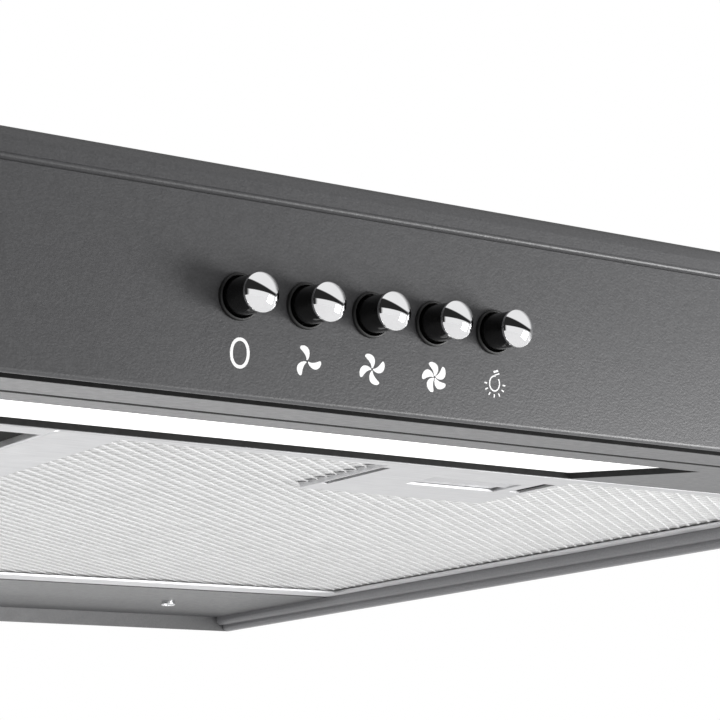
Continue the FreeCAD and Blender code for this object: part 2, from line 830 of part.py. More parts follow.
def capacitor_strap():
    """Sheet strap over the capacitor with an ear on each side."""
    y0, y1 = strap_front, strap_rear
    outer = capacitor_radius + sheet
    low = -2 * sheet
    band = tube(outer, capacitor_radius + 0.02, y1 - y0, capacitor_x, y0, capacitor_z,
                Vector(0, 1, 0))
    pieces = [band.common(box(capacitor_x - 20, capacitor_x + 20, y0, y1, -40, low))]
    for side in (-1, 1):
        ear = sorted([capacitor_x + 9 * side, capacitor_x + 22 * side])
        wall = sorted([capacitor_x + (outer - 1) * side, capacitor_x + (outer + 0.02) * side])
        pieces.append(box(ear[0], ear[1], y0, y1, low, -sheet))
        pieces.append(box(wall[0], wall[1], y0, y1, capacitor_z + 1.2, low))
    return joined(pieces)


def led_driver():
    case = box(150, 238, -118, -84, -24, -sheet)
    return case.makeChamfer(1.5, [e for e in case.Edges if e.BoundBox.ZLength > 20])


def lead(points, radius, bend):
    """Round lead along straight runs joined by tangent arcs."""
    edges = []
    start = points[0]
    for before, corner, after in zip(points, points[1:], points[2:]):
        into = (before - corner).normalize()
        out = (after - corner).normalize()
        half = into.getAngle(out) / 2
        cut = bend / math.tan(half)
        enter = corner + into * cut
        leave = corner + out * cut
        centre_way = (into + out).normalize()
        middle = corner + centre_way * (bend / math.sin(half) - bend)
        edges.append(Part.LineSegment(start, enter).toShape())
        edges.append(Part.Arc(enter, middle, leave).toShape())
        start = leave
    edges.append(Part.LineSegment(start, points[-1]).toShape())
    path = Part.Wire(edges)
    way = (points[1] - points[0]).normalize()
    section = Part.Wire(Part.Circle(points[0], way, radius).toShape())
    return path.makePipeShell([section], True, False)


def switch_lead():
    z = -button_drop
    return lead([
        Vector(27, at(switch_depth + 2), z), Vector(27, -150, z), Vector(112, -20, z + 14),
        Vector(186, 20, z + 14), Vector(186, box_front, z + 14),
    ], 2.6, 16)


def lamp_lead():
    top = tray_roof() + sheet
    return lead([
        Vector(140, at(72), top), Vector(140, at(72), -14), Vector(190, -140, -14),
        Vector(190, -118, -14),
    ], 1.8, 9)


def driver_lead():
    return lead([
        Vector(205, -84, lead_height), Vector(205, -40, lead_height),
        Vector(214, 10, lead_height), Vector(214, box_front, lead_height),
    ], 1.8, 16)


def bottom_screws():
    """Screws that hold the rear plate and the lamp plate from below."""
    group = []
    for x in (-240, -80, 80, 240):
        place = screw(x, at(filter_pivot_reach + 48), -front_height, up=-1)
        group.append(sloped(place))
    for x in (-270, 270):
        group.append(screw(x, at(72), -front_height, up=-1))
    return group


def spigot_screws():
    return [screw(x, y, spigot_flange) for x, y in spigot_screw_places()]


def drilled(shape, screws):
    """The shape with a snug hole for each screw."""
    return shape.cut(screws)


# ---- assembly -----------------------------------------------------------------------------

def build():
    fasteners = bottom_screws() + spigot_screws()
    add("front_panel", front_panel())
    add("top_panel", drilled(top_panel(), fasteners))
    side = side_panel(parts["front_panel"])
    add("side_panel_right", side)
    add("side_panel_left", mirrored(side))
    add("rear_panel", rear_panel())
    add("rear_bottom_plate", drilled(rear_bottom_plate(), fasteners))
    add("front_lip", front_lip())
    add("centre_divider", centre_divider())
    add("filter_rails", Part.makeCompound([filter_rail(), mirrored(filter_rail())]))
    add("pan_head_screws", Part.makeCompound(fasteners))

    add("lamp_plate", drilled(lamp_plate(), fasteners))
    add("lamp_lens", lamp_lens())
    add("lamp_tray", lamp_tray())
    add("led_strip", led_strip())
    add("led_driver", led_driver())

    for index, name in enumerate(button_names):
        x = index * button_pitch
        add("button_" + name + "_cap", button_cap(x))
        add("button_" + name + "_stem", button_stem(x))
    places = [index * button_pitch for index in range(len(button_names))]
    add("button_springs", Part.makeCompound([button_spring(x) for x in places]))
    add("button_bezels", Part.makeCompound([button_bezel(x) for x in places]))
    add("switch_housing", switch_housing())
    add("switch_terminals", switch_terminals())

    for name, shape in (
        ("filter_frame", filter_frame()),
        ("filter_mesh", filter_mesh()),
        ("filter_pad", filter_pad()),
        ("latch_plate", latch_plate()),
        ("latch_slider", latch_slider()),
        ("latch_spring", latch_spring()),
    ):
        placed = sloped(shape)
        add(name + "_right", placed)
        add(name + "_left", mirrored(placed))

    add("impeller", impeller())
    add("motor_shaft", motor_shaft())
    add("motor_body", motor_body())
    add("motor_bracket", motor_bracket())
    add("volute_wall", volute_wall())
    add("volute_floor", volute_floor())
    add("inlet_ring", inlet_ring())

    add("duct_spigot", duct_spigot())
    add("flap_pin", flap_pin())
    add("damper_flap_front", damper_flap(-1, [(-45, -30), (30, 45)]))
    add("damper_flap_rear", damper_flap(1, [(-28, -13), (13, 28)]))

    add("cable_gland", cable_gland())
    add("terminal_box", terminal_box())
    add("terminal_lid", terminal_lid())
    add("terminal_block", terminal_block())
    add("run_capacitor", run_capacitor())
    add("capacitor_strap", capacitor_strap())
    add("switch_lead", switch_lead())
    add("lamp_leads", Part.makeCompound([lamp_lead(), driver_lead()]))


build()
os.makedirs("parts", exist_ok=True)
for name, shape in parts.items():
    shape.exportStep("parts/" + name + ".step")
print(len(parts), "parts written")
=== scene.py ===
import json
import math

import bmesh
import bpy
from mathutils import Matrix, Vector


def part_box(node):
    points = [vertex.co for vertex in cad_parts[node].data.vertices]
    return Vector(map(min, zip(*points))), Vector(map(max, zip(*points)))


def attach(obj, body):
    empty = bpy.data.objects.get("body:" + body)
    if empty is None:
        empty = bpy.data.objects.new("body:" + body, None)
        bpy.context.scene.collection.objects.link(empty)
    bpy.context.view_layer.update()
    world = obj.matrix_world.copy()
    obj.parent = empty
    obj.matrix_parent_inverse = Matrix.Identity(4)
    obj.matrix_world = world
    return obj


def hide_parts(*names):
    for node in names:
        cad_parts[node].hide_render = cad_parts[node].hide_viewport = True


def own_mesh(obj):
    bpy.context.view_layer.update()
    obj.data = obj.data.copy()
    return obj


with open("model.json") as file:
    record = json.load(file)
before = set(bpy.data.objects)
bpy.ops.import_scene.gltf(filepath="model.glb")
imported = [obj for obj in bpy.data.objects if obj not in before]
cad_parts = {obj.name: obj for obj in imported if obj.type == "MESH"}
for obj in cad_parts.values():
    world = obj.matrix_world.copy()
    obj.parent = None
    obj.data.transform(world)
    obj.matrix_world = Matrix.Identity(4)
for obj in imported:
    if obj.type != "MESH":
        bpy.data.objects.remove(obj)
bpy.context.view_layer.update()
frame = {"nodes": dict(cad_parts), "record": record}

scene = bpy.context.scene
MM = 0.001

# ---- places taken from the frame -----------------------------------------------------------
FACE_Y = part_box("front_panel")[0].y
BOTTOM_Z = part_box("front_panel")[0].z
BUTTONS = ["off", "speed_1", "speed_2", "speed_3", "light"]
BUTTON_X = [sum(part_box(f"button_{name}_cap")[i].x for i in (0, 1)) / 2 for name in BUTTONS]
BUTTON_Z = sum(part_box("button_off_cap")[i].z for i in (0, 1)) / 2

# ---- sizes of what is modelled here, in millimetres ----------------------------------------
SLOPE = math.radians(5.27)
SLOPE_LINE_REACH = 96.0
CELL_WIDTH = 6.4
CELL_LENGTH = 5.0
STRAND = 0.85
BOND = 1.5
STRAND_THICKNESS = 0.14
STRAND_TWIST = 0.07
MESH_LEFT = 24.0
MESH_RIGHT = 289.0
MESH_FRONT = 101.5
MESH_REAR = 386.0
MESH_LEVEL = 1.25
LATCH_LEFT = 118.0
LATCH_RIGHT = 184.5
LATCH_REAR = 148.5
LATCH_X = 150.0
ICON_DROP = 12.5
ICON_SHIFT = 0.8
INK = 0.05
RECESS_SHADE_DEPTH = 1.7
RECESS_SHADE_THICKNESS = 0.35
RECESS_SHADE_CLEARANCE = 0.02
LENS_CLEARANCE = 0.1


def reach(value):
    """Y of a point this many millimetres behind the front face."""
    return FACE_Y + value * MM


def tilted(x, distance, height):
    """A point on the sloping underside: distance behind the front face, height above it, in mm."""
    along = (distance - SLOPE_LINE_REACH) * MM
    up = height * MM
    return Vector((
        x * MM,
        reach(SLOPE_LINE_REACH) + along * math.cos(SLOPE) + up * math.sin(SLOPE),
        BOTTOM_Z - along * math.sin(SLOPE) + up * math.cos(SLOPE),
    ))


# ---- materials -----------------------------------------------------------------------------

class Finish:
    """A Principled material whose textures follow the object's own coordinates."""

    def __init__(self, name, color, metallic=0.0, roughness=0.5, **sockets):
        self.material = bpy.data.materials.new(name)
        self.material.use_nodes = True
        self.nodes = self.material.node_tree.nodes
        self.links = self.material.node_tree.links
        self.shader = self.nodes["Principled BSDF"]
        self.color = color
        self.shader.inputs["Base Color"].default_value = (*color, 1)
        self.shader.inputs["Metallic"].default_value = metallic
        self.shader.inputs["Roughness"].default_value = roughness
        for socket, value in sockets.items():
            self.shader.inputs[socket.replace("_", " ")].default_value = value
        self.place = self.nodes.new("ShaderNodeTexCoord").outputs["Object"]

    def stretched(self, x, y, z):
        """Coordinates drawn out along an axis, for brushed or rolled surfaces."""
        mapping = self.nodes.new("ShaderNodeMapping")
        mapping.inputs["Scale"].default_value = (x, y, z)
        self.links.new(self.place, mapping.inputs["Vector"])
        return mapping.outputs["Vector"]

    def noise(self, size, detail=2.0, where=None):
        """Noise whose features are about this many millimetres across."""
        node = self.nodes.new("ShaderNodeTexNoise")
        node.inputs["Scale"].default_value = 1 / (size * MM)
        node.inputs["Detail"].default_value = detail
        self.links.new(where or self.place, node.inputs["Vector"])
        return node.outputs["Fac"]

    def cells(self, size, where=None):
        """A random grey for each cell about this many millimetres across."""
        node = self.nodes.new("ShaderNodeTexVoronoi")
        node.inputs["Scale"].default_value = 1 / (size * MM)
        self.links.new(where or self.place, node.inputs["Vector"])
        grey = self.nodes.new("ShaderNodeSeparateColor")
        self.links.new(node.outputs["Color"], grey.inputs["Color"])
        return grey.outputs["Red"]

    def ramp(self, factor, low, high, start=0.3, end=0.7):
        node = self.nodes.new("ShaderNodeMapRange")
        node.inputs["From Min"].default_value = start
        node.inputs["From Max"].default_value = end
        node.inputs["To Min"].default_value = low
        node.inputs["To Max"].default_value = high
        self.links.new(factor, node.inputs["Value"])
        return node.outputs["Result"]

    def shade(self, factor, low, high, start=0.3, end=0.7):
        """Multiplies the colour by a value that follows the factor."""
        scale = self.nodes.new("ShaderNodeVectorMath")
        scale.operation = "SCALE"
        socket = self.shader.inputs["Base Color"]
        if socket.is_linked:
            self.links.new(socket.links[0].from_socket, scale.inputs[0])
        else:
            scale.inputs[0].default_value = self.color
        self.links.new(self.ramp(factor, low, high, start, end), scale.inputs["Scale"])
        self.links.new(scale.outputs["Vector"], socket)
        return self

    def gloss(self, factor, low, high, start=0.3, end=0.7):
        """Lets the roughness follow the factor."""
        self.links.new(self.ramp(factor, low, high, start, end), self.shader.inputs["Roughness"])
        return self

    def relief(self, factor, depth, strength=1.0):
        """Adds a bump of this depth in millimetres."""
        bump = self.nodes.new("ShaderNodeBump")
        bump.inputs["Distance"].default_value = depth * MM
        bump.inputs["Strength"].default_value = strength
        self.links.new(factor, bump.inputs["Height"])
        socket = self.shader.inputs["Normal"]
        if socket.is_linked:
            self.links.new(socket.links[0].from_socket, bump.inputs["Normal"])
        self.links.new(bump.outputs["Normal"], socket)
        return self


def powder_coat(name, tone):
    finish = Finish(name, (tone, tone, tone * 1.04), roughness=0.4)
    wrinkle = finish.noise(0.55, 2.0, finish.stretched(0.8, 1.0, 1.1))
    finish.shade(finish.noise(60.0), 0.96, 1.04)
    finish.shade(wrinkle, 0.88, 1.12)
    finish.gloss(finish.noise(2.5), 0.37, 0.43)
    finish.relief(wrinkle, 0.05)
    return finish


def rolled(name, color, roughness, metallic=1.0, grain=0.6):
    """Bare sheet metal with fine rolling lines along X."""
    finish = Finish(name, color, metallic, roughness)
    lines = finish.noise(grain, 3.0, finish.stretched(0.04, 1, 1))
    finish.shade(lines, 0.93, 1.05)
    finish.gloss(finish.noise(8.0), roughness * 0.85, roughness * 1.2)
    finish.relief(lines, 0.01)
    return finish


def zinc_spangle():
    finish = Finish("galvanised_sheet", (0.6, 0.61, 0.62), 1.0, 0.42)
    spangle = finish.cells(9.0)
    finish.shade(spangle, 0.82, 1.08, 0, 1)
    finish.gloss(spangle, 0.34, 0.52, 0, 1)
    finish.relief(finish.noise(3.0), 0.02)
    return finish


def moulded(name, color, roughness, size=0.5, depth=0.02):
    """Moulded plastic with a fine spark-eroded grain."""
    finish = Finish(name, color, roughness=roughness)
    finish.shade(finish.noise(25.0), 0.95, 1.05)
    finish.gloss(finish.noise(4.0), roughness * 0.88, roughness * 1.12)
    finish.relief(finish.noise(size), depth)
    return finish


def plated(name, color, roughness):
    """Plated or polished metal with faint waviness and wipe marks."""
    finish = Finish(name, color, 1.0, roughness)
    finish.gloss(finish.noise(2.0, 4.0), roughness * 0.7, roughness * 1.4)
    finish.shade(finish.noise(6.0), 0.97, 1.02)
    return finish


def opal_lens():
    finish = Finish("opal_lens", (0.95, 0.95, 0.94), roughness=0.35, Emission_Strength=0.75)
    finish.shader.inputs["Emission Color"].default_value = (1.0, 1.0, 0.99, 1)
    finish.shade(finish.noise(30.0), 0.98, 1.0)
    finish.relief(finish.noise(0.8), 0.02)
    return finish


def cast():
    finish = Finish("cast_aluminium", (0.62, 0.62, 0.63), 1.0, 0.45)
    finish.shade(finish.noise(12.0, 4.0), 0.85, 1.05)
    finish.relief(finish.noise(0.7, 3.0), 0.06)
    return finish


def painted_shade_black():
    """Near-black sheet that hardly reflects, set in narrow gaps, slots and recesses as painted
    shade.
    """
    finish = Finish("painted_shade_black", (0.012, 0.012, 0.012), roughness=0.85, Specular_IOR_Level=0.15)
    finish.shade(finish.noise(2.0), 0.8, 1.2)
    finish.relief(finish.noise(0.4), 0.03)
    return finish


def mill_mesh():
    """Bright expanded aluminium."""
    finish = Finish("mesh_aluminium", (0.72, 0.72, 0.72), 0.3, 0.5)
    finish.shade(finish.noise(14.0, 3.0), 0.96, 1.03)
    finish.gloss(finish.noise(1.5), 0.45, 0.55)
    finish.relief(finish.noise(0.25), 0.006)
    return finish


def knitted_layers():
    """The finer layers behind the visible mesh: overlapping bright strands and gaps."""
    finish = Finish("filter_layers", (0.74, 0.74, 0.74), 0.3, 0.55)
    strands = finish.cells(1.9, finish.stretched(0.8, 1.0, 1.0))
    finish.shade(strands, 0.92, 1.02, 0, 1)
    finish.shade(finish.noise(22.0, 3.0), 0.97, 1.03)
    finish.relief(strands, 0.12)
    return finish


SLOT_FINISH = {
    "paint": powder_coat("powder_coat", 0.07),
    "white_paint": moulded("white_enamel", (0.86, 0.86, 0.85), 0.35, 0.9, 0.02),
    "galvanised": zinc_spangle(),
    "opal": opal_lens(),
    "board_white": moulded("solder_mask", (0.82, 0.83, 0.8), 0.4, 1.2, 0.01),
    "white_plastic": moulded("white_plastic", (0.8, 0.8, 0.78), 0.42),
    "gloss_black": moulded("gloss_black", (0.004, 0.004, 0.004), 0.12, 3.0, 0.004),
    "black_plastic": moulded("black_plastic", (0.008, 0.008, 0.008), 0.5),
    "grey_plastic": moulded("grey_plastic", (0.2, 0.2, 0.205), 0.45),
    "chrome": plated("chrome", (0.93, 0.93, 0.94), 0.035),
    "spring_steel": rolled("spring_steel", (0.5, 0.5, 0.51), 0.3),
    "steel": rolled("steel", (0.55, 0.55, 0.56), 0.32),
    "zinc": plated("zinc_plate", (0.7, 0.71, 0.72), 0.28),
    "brass": plated("brass", (0.75, 0.58, 0.25), 0.25),
    "cast_aluminium": cast(),
    "filter_aluminium": rolled("filter_aluminium", (0.66, 0.66, 0.67), 0.42),
    "mesh_aluminium": mill_mesh(),
    "lead_rubber": moulded("lead_rubber", (0.03, 0.03, 0.032), 0.55),
}
LAYERS = knitted_layers()
PRINT = moulded("print_white", (0.95, 0.95, 0.95), 0.5, 0.3, 0.004)
# painted shade: near-black for gaps, slots and recesses that are only in shadow
PAINTED_SHADE_BLACK = painted_shade_black()
THUMB_PAD = rolled("thumb_pad_aluminium", (0.5, 0.5, 0.51), 0.6, 0.5)
SIDE_PAINT_SHEEN = powder_coat("side_paint_sheen", 0.14)  # the front's powder coat painted twice as light: a painted sheen so its lip shows

for part in frame["record"]["subparts"]:
    node = frame["nodes"][part["node"]]
    node.data.materials.clear()
    node.data.materials.append(SLOT_FINISH[part["material_slot"]].material)
for side in ("left", "right"):
    frame["nodes"][f"filter_pad_{side}"].data.materials[0] = LAYERS.material
    frame["nodes"][f"latch_slider_{side}"].data.materials[0] = THUMB_PAD.material
    # the side panels take the lightened coat, a painted sheen
    frame["nodes"][f"side_panel_{side}"].data.materials[0] = SIDE_PAINT_SHEEN.material
# the divider between the filters is black as painted shade of the gap between them
frame["nodes"]["centre_divider"].data.materials[0] = PAINTED_SHADE_BLACK.material


# ---- mesh helpers --------------------------------------------------------------------------

def piece(name, mesh_data, finish, body, stands_for=(), crease=35.0):
    """Turns a bmesh into a piece that rides on a body."""
    mesh = bpy.data.meshes.new(name)
    bmesh.ops.recalc_face_normals(mesh_data, faces=mesh_data.faces)
    mesh_data.to_mesh(mesh)
    mesh_data.free()
    mesh.shade_smooth()
    mesh.set_sharp_from_angle(angle=math.radians(crease))
    mesh.materials.append(finish.material)
    obj = bpy.data.objects.new(name, mesh)
    scene.collection.objects.link(obj)
    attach(obj, body)
    if stands_for:
        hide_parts(*stands_for)
    return obj


def lathe(bm, profile, place, steps=96):
    """Revolves (radius, height) points, in mm, about the local Z of place; closes at radius 0."""
    rings = []
    for radius, height in profile:
        if radius == 0:
            rings.append([bm.verts.new(place @ Vector((0, 0, height * MM)))])
            continue
        ring = []
        for step in range(steps):
            angle = 2 * math.pi * step / steps
            ring.append(bm.verts.new(place @ Vector((
                radius * MM * math.cos(angle), radius * MM * math.sin(angle), height * MM,
            ))))
        rings.append(ring)
    pairs = list(zip(rings, rings[1:]))
    if len(rings[0]) > 1:
        pairs.append((rings[-1], rings[0]))
    for lower, upper in pairs:
        for step in range(steps):
            after = (step + 1) % steps
            if len(lower) == 1:
                bm.faces.new((lower[0], upper[step], upper[after]))
            elif len(upper) == 1:
                bm.faces.new((lower[step], lower[after], upper[0]))
            else:
                bm.faces.new((lower[step], lower[after], upper[after], upper[step]))


def rounded(x, z, radius, start, end, steps=8):
    """Points on an arc about (x, z), from one angle to another, in degrees."""
    points = []
    for step in range(steps + 1):
        angle = math.radians(start + (end - start) * step / steps)
        points.append((x + radius * math.cos(angle), z + radius * math.sin(angle)))
    return points


def outward(x, y, z):
    """A place whose local Z points out of the front panel."""
    return Matrix.Translation((x, y, z)) @ Matrix.Rotation(math.radians(90), 4, "X")


# ---- push buttons --------------------------------------------------------------------------
CAP_RADIUS = 4.5
CAP_FOOT = 0.18
CAP_SHOULDER = 0.12
DOME_HEIGHT = 1.9
SHOULDER_TURN = 2.0
STEM_RADIUS = 4.35
STEM_FOOT = 0.4
STEM_EDGE = 0.1
BEZEL_RADIUS = 5.37
BEZEL_BORE = 4.8
BEZEL_SLEEVE = 4.95
BEZEL_DEPTH = 1.0
BEZEL_PROUD = 1.0
BEZEL_EDGE = 0.4
BEZEL_LIP = 0.1

cap_low, cap_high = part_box("button_off_cap")
cap_depth = (cap_high.y - cap_low.y) / MM
stem_low, stem_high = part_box("button_off_stem")
stem_length = (stem_high.y - stem_low.y) / MM
rim_height = cap_depth - DOME_HEIGHT
dome_radius = (CAP_RADIUS ** 2 + DOME_HEIGHT ** 2) / (2 * DOME_HEIGHT)
dome_angle = math.degrees(math.asin(CAP_RADIUS / dome_radius))

for name, x in zip(BUTTONS, BUTTON_X):
    cap = bmesh.new()
    profile = [(0, 0)]
    profile += rounded(CAP_RADIUS - CAP_FOOT, CAP_FOOT, CAP_FOOT, -90, 0, 4)
    profile += rounded(CAP_RADIUS - CAP_SHOULDER, rim_height - 0.1, CAP_SHOULDER, 0,
                       90 - dome_angle, 4)
    profile += rounded(0, cap_depth - dome_radius, dome_radius,
                       90 - dome_angle + SHOULDER_TURN, 90, 20)[:-1]
    profile.append((0, cap_depth))
    lathe(cap, profile, outward(x, cap_high.y, BUTTON_Z))
    piece(f"button_{name}_dome", cap, SLOT_FINISH["chrome"], f"button_{name}",
          [f"button_{name}_cap"], 50)

    stem = bmesh.new()
    profile = [(0, 0)]
    profile += rounded(STEM_RADIUS - STEM_FOOT, STEM_FOOT, STEM_FOOT, -90, 0, 6)
    profile += rounded(STEM_RADIUS - STEM_EDGE, stem_length - STEM_EDGE, STEM_EDGE, 0, 90, 4)
    profile.append((0, stem_length))
    lathe(stem, profile, outward(x, stem_high.y, BUTTON_Z))
    piece(f"button_{name}_post", stem, SLOT_FINISH["gloss_black"], f"button_{name}",
          [f"button_{name}_stem"], 50)

bezels = bmesh.new()
for x in BUTTON_X:
    profile = [(BEZEL_BORE, -BEZEL_DEPTH), (BEZEL_SLEEVE, -BEZEL_DEPTH), (BEZEL_SLEEVE, 0),
               (BEZEL_RADIUS, 0)]
    profile += rounded(BEZEL_RADIUS - BEZEL_EDGE, BEZEL_PROUD - BEZEL_EDGE, BEZEL_EDGE, 0, 90, 8)
    profile += rounded(BEZEL_BORE + BEZEL_LIP, BEZEL_PROUD - BEZEL_LIP, BEZEL_LIP, 90, 180, 4)
    lathe(bezels, profile, outward(x, FACE_Y, BUTTON_Z))
piece("button_collars", bezels, SLOT_FINISH["black_plastic"], "casing",
      ["button_bezels"], 40)


# ---- printed icons -------------------------------------------------------------------------

def curve_points(a, b, c, d, steps=10):
    """Points on a cubic curve with these four controls, without its last point."""
    points = []
    for step in range(steps):
        t = step / steps
        s = 1 - t
        points.append(tuple(
            s ** 3 * a[i] + 3 * s * s * t * b[i] + 3 * s * t * t * c[i] + t ** 3 * d[i]
            for i in (0, 1)
        ))
    return points


def ink_prism(bm, outline, x, z):
    """A flat printed shape standing an ink's thickness out of the panel."""
    back = [bm.verts.new((x + u * MM, FACE_Y + 0.01 * MM, z + v * MM)) for u, v in outline]
    front = [bm.verts.new((x + u * MM, FACE_Y - INK * MM, z + v * MM)) for u, v in outline]
    bm.faces.new(front)
    bm.faces.new(back[::-1])
    for index in range(len(outline)):
        after = (index + 1) % len(outline)
        bm.faces.new((front[index], back[index], back[after], front[after]))


def ink_band(bm, centre_line, width, x, z, closed=False):
    """A printed line of even width along the points."""
    count = len(centre_line)
    left, right = [], []
    for index, (u, v) in enumerate(centre_line):
        before = centre_line[(index - 1) % count if closed else max(index - 1, 0)]
        after = centre_line[(index + 1) % count if closed else min(index + 1, count - 1)]
        du, dv = after[0] - before[0], after[1] - before[1]
        size = math.hypot(du, dv)
        du, dv = du / size * width / 2, dv / size * width / 2
        left.append((u - dv, v + du))
        right.append((u + dv, v - du))
    last = count if closed else count - 1
    for index in range(last):
        after = (index + 1) % count
        ink_prism(bm, [left[index], right[index], right[after], left[after]], x, z)


def fan_blade(lean, belly, length):
    """Outline of one blade that points up: narrow at the hub, its tip hooked to the left."""
    hub = (0.1, 0.3)
    crown = (-lean * 0.4, length)
    tip = (-lean, length * 0.84)
    back = (-0.14, 0.26)
    right = curve_points(hub, (belly * 0.7, 0.9), (belly * 1.1, length * 0.92), crown)
    top = curve_points(crown, (-lean * 0.65, length * 1.02), (-lean * 1.02, length * 0.97), tip)
    left = curve_points(tip, (-lean * 0.95, length * 0.7), (-0.35, length * 0.55), back)
    return right + top + left + [back]


def turned(outline, angle):
    c, s = math.cos(angle), math.sin(angle)
    return [(u * c - v * s, u * s + v * c) for u, v in outline]


def icon_place(index):
    return BUTTON_X[index] + ICON_SHIFT * MM, BUTTON_Z - ICON_DROP * MM


def oval(radius_x, radius_z, start=0.0, end=360.0, steps=48, square=1.0):
    """Points on an oval; square below 1 fills out its shoulders."""
    points = []
    for step in range(steps + (end - start < 360)):
        angle = math.radians(start + (end - start) * step / steps)
        c, v = math.cos(angle), math.sin(angle)
        points.append((radius_x * math.copysign(abs(c) ** square, c),
                       radius_z * math.copysign(abs(v) ** square, v)))
    return points


OVAL_STROKE = 0.75
LAMP_STROKE = 0.32
BASE_STROKE = 0.5
RAY_STROKE = 0.34
BLADE_LENGTH = 3.5
FANS = [(3, 2.1, 0.95), (4, 2.1, 1.2), (5, 1.8, 1.6)]
RAY_ANGLES = (0, -28, -60, -92, -124, -154, -184)
RAY_ENDS = (2.35, 3.15)


def fan_icon(bm, index, blades, lean, belly):
    """Blades spread evenly round the hub."""
    x, z = icon_place(index)
    for blade in range(blades):
        outline = turned(fan_blade(lean, belly, BLADE_LENGTH), 2 * math.pi * blade / blades)
        ink_prism(bm, outline, x, z)


def lamp_icon(bm, index):
    """A round bulb with its base above it and rays below."""
    x, z = icon_place(index)
    ink_band(bm, oval(1.5, 1.8, 80, 400), LAMP_STROKE, x - 0.1 * MM, z + 0.25 * MM)
    ink_band(bm, [(-0.2, 2.2), (1.3, 2.75)], LAMP_STROKE, x, z)
    ink_band(bm, [(-0.5, 2.95), (0.9, 3.4)], BASE_STROKE, x, z)
    for angle in RAY_ANGLES:
        ray = math.radians(angle)
        ends = [(r * math.cos(ray), r * math.sin(ray)) for r in RAY_ENDS]
        ink_band(bm, ends, RAY_STROKE, x, z)


icons = bmesh.new()
ink_band(icons, oval(2.2, 3.1, square=0.94), OVAL_STROKE, *icon_place(0), closed=True)
for index, fan in enumerate(FANS, 1):
    fan_icon(icons, index, *fan)
lamp_icon(icons, 4)
piece("printed_icons", icons, PRINT, "casing")


# ---- black ring round the lens, painted shade of the lamp window's recess walls ------------
lens_low, lens_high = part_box("lamp_lens")
LENS_TAPER = 6.5


def recess_outline(inset):
    """The lamp window's outline moved in by so many millimetres."""
    grow = (LENS_CLEARANCE - inset) * MM
    front = lens_low.y - grow
    rear = lens_high.y + grow
    half_front = lens_high.x + grow
    half_rear = half_front - LENS_TAPER * MM
    return [(-half_front, front), (half_front, front), (half_rear, rear), (-half_rear, rear)]


recess_shade = bmesh.new()
levels = [lens_low.z - RECESS_SHADE_DEPTH * MM, lens_low.z - RECESS_SHADE_CLEARANCE * MM]
loops = []
for inset in (RECESS_SHADE_CLEARANCE, RECESS_SHADE_THICKNESS):
    for level in levels:
        loops.append([recess_shade.verts.new((*point, level)) for point in recess_outline(inset)])
order = [loops[0], loops[1], loops[3], loops[2]]
for index in range(4):
    for side in range(4):
        after = (side + 1) % 4
        low_loop, high_loop = order[index], order[(index + 1) % 4]
        recess_shade.faces.new((low_loop[side], low_loop[after], high_loop[after], high_loop[side]))
# black as painted shade of the recess walls round the lens
piece("lamp_recess_shade", recess_shade, PAINTED_SHADE_BLACK, "casing")


# ---- painted shade in the lip and plate seams and the latch openings; the divider's end ----

def level_box(bm, low, high):
    """A box between two corners, given as X, distance behind the face and height, in mm."""
    corners = []
    for x in (low[0], high[0]):
        for y in (low[1], high[1]):
            for z in (low[2], high[2]):
                corners.append(bm.verts.new((x * MM, reach(y), BOTTOM_Z + z * MM)))
    box_faces(bm, corners)


def sloping_box(bm, low, high, mirror=1):
    """The same along the sloping underside."""
    corners = []
    for x in (low[0], high[0]):
        for y in (low[1], high[1]):
            for z in (low[2], high[2]):
                corners.append(bm.verts.new(tilted(mirror * x, y, z)))
    box_faces(bm, corners)


def box_faces(bm, c):
    for quad in ((0, 1, 3, 2), (4, 6, 7, 5), (0, 4, 5, 1), (2, 3, 7, 6), (0, 2, 6, 4), (1, 5, 7, 3)):
        bm.faces.new([c[index] for index in quad])


def eased(bm, width):
    """Takes the sharpness off every edge."""
    bmesh.ops.bevel(bm, geom=bm.edges[:], offset=width * MM, segments=3, affect="EDGES")


GAP_SHADE_THICKNESS = 0.4
GAP_SHADE_HEIGHT = 5.5
GAP_SHADE_CLEARANCE = 0.02
GAP_SHADE_LOW = 0.03
SEAM_LAP = 0.6
SEAM_HEIGHT = 0.6
SEAM_PROUD = 0.06
COVER_HALF = 7.9
COVER_FRONT = 98.4
COVER_REAR = 106.5
COVER_LOW = 0.15
COVER_HIGH = 1.2
SLOT_SHADE_LOW = 0.88
SLOT_SHADE_HIGH = 2.4
LIP_FRONT = (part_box("front_lip")[0].y - FACE_Y) / MM
LIP_REAR = (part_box("front_lip")[1].y - FACE_Y) / MM
PLATE_FRONT = (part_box("lamp_plate")[0].y - FACE_Y) / MM
SEAM_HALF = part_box("lamp_plate")[1].x / MM

# black strip on the lip's front turn: painted shade of the gap under the front panel
gap_shade = bmesh.new()
level_box(gap_shade, (-SEAM_HALF, LIP_FRONT - GAP_SHADE_THICKNESS, GAP_SHADE_LOW),
          (SEAM_HALF, LIP_FRONT - GAP_SHADE_CLEARANCE, GAP_SHADE_HEIGHT))
eased(gap_shade, 0.1)
piece("lip_gap_shade", gap_shade, PAINTED_SHADE_BLACK, "casing")

# black strip in the seam between lip and lamp plate: painted shade of the gap
seam = bmesh.new()
level_box(seam, (-SEAM_HALF, LIP_REAR - SEAM_LAP, -SEAM_PROUD),
          (SEAM_HALF, PLATE_FRONT + SEAM_LAP, SEAM_HEIGHT))
eased(seam, 0.05)
piece("plate_seam_shade", seam, PAINTED_SHADE_BLACK, "casing")

